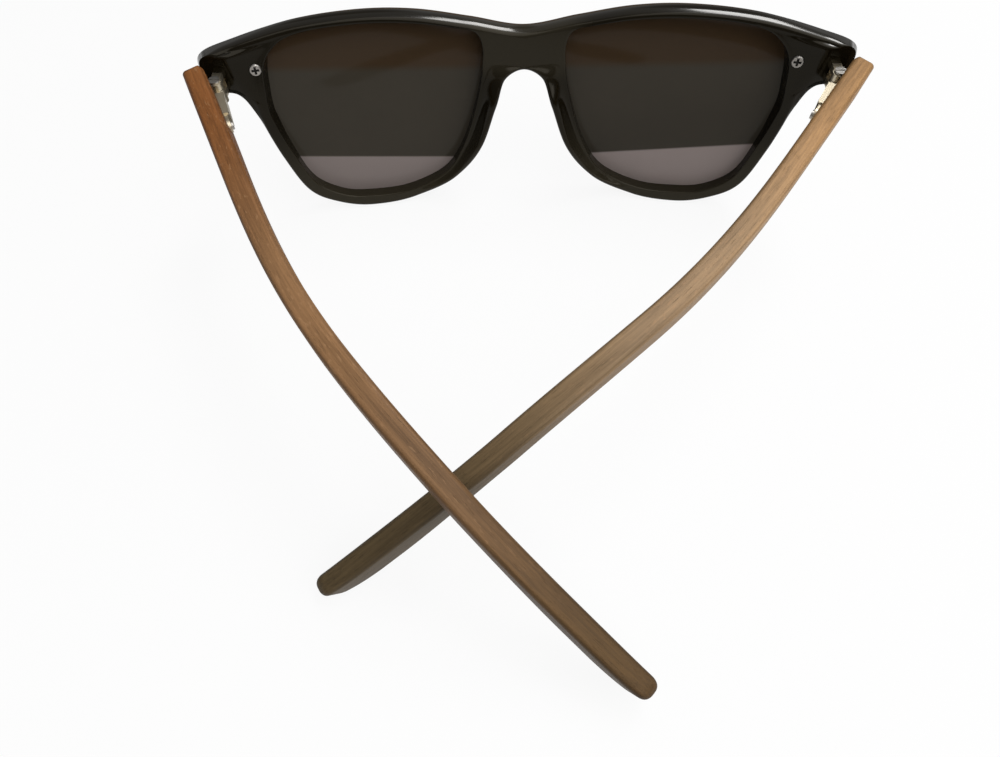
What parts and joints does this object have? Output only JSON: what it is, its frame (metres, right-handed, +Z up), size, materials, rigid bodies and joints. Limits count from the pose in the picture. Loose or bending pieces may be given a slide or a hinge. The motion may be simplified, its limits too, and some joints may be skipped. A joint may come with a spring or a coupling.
{
  "type": "sunglasses",
  "caption": "Sunglasses with a one-piece tinted lens screwed to a black moulded front, spring hinges and bowed wooden temples, lying half folded.",
  "frame": {"origin": "on the table, under the middle of the glasses as they lie", "axes": "+Z up, the lens looks along -Y, the temples point to +Y, +X is the wearer's left"},
  "size_m": [0.1445, 0.134, 0.0479],
  "materials": {
    "front_plastic": "moulded and polished black",
    "tinted_lens": "smooth dark grey-brown tint",
    "screw_steel": "turned, slightly dulled",
    "washer_plastic": "plain",
    "hinge_metal": "pale gold plating, satin",
    "spring_steel": "drawn wire",
    "walnut": "sanded and oiled, fine grain along the length"
  },
  "bodies": {
    "front": {"front_frame": "front_plastic", "shield_lens": "tinted_lens", "lens_screws": "screw_steel", "lens_washers": "washer_plastic", "lens_nuts": "screw_steel", "left_front_hinge": "hinge_metal", "left_hinge_screw": "screw_steel", "right_front_hinge": "hinge_metal", "right_hinge_screw": "screw_steel"},
    "left_knuckle": {"left_spring_slider": "hinge_metal", "left_rod_nut": "screw_steel"},
    "left_arm": {"left_temple": "walnut", "left_spring_case": "hinge_metal", "left_spring_stop": "hinge_metal", "left_case_screw": "screw_steel", "left_spring": "spring_steel"},
    "right_knuckle": {"right_spring_slider": "hinge_metal", "right_rod_nut": "screw_steel"},
    "right_arm": {"right_temple": "walnut", "right_spring_case": "hinge_metal", "right_spring_stop": "hinge_metal", "right_case_screw": "screw_steel", "right_spring": "spring_steel"}
  },
  "joints": [
    {"name": "left_fold", "type": "hinge", "parent": "front", "child": "left_knuckle", "pos_m": [0.0664, -0.04997, 0.03762], "axis": [0, 0.0496, 0.9988], "range_deg": [-28.7, 30]},
    {"name": "left_flex", "type": "slide", "parent": "left_knuckle", "child": "left_arm", "axis": [-0.4226, 0.9054, -0.0406], "range_m": [0, 0.0015], "stiffness_N_per_m": 600, "deforming": ["left_spring"]},
    {"name": "right_fold", "type": "hinge", "parent": "front", "child": "right_knuckle", "pos_m": [-0.0664, -0.04997, 0.03762], "axis": [0, -0.0496, -0.9988], "range_deg": [-36.45, 38.1]},
    {"name": "right_flex", "type": "slide", "parent": "right_knuckle", "child": "right_arm", "axis": [0.5792, 0.8129, -0.0613], "range_m": [0, 0.0015], "stiffness_N_per_m": 600, "deforming": ["right_spring"]}
  ],
  "couplings": [
    {"joint": "right_fold", "follows": "left_fold", "ratio": 1.27}
  ]
}
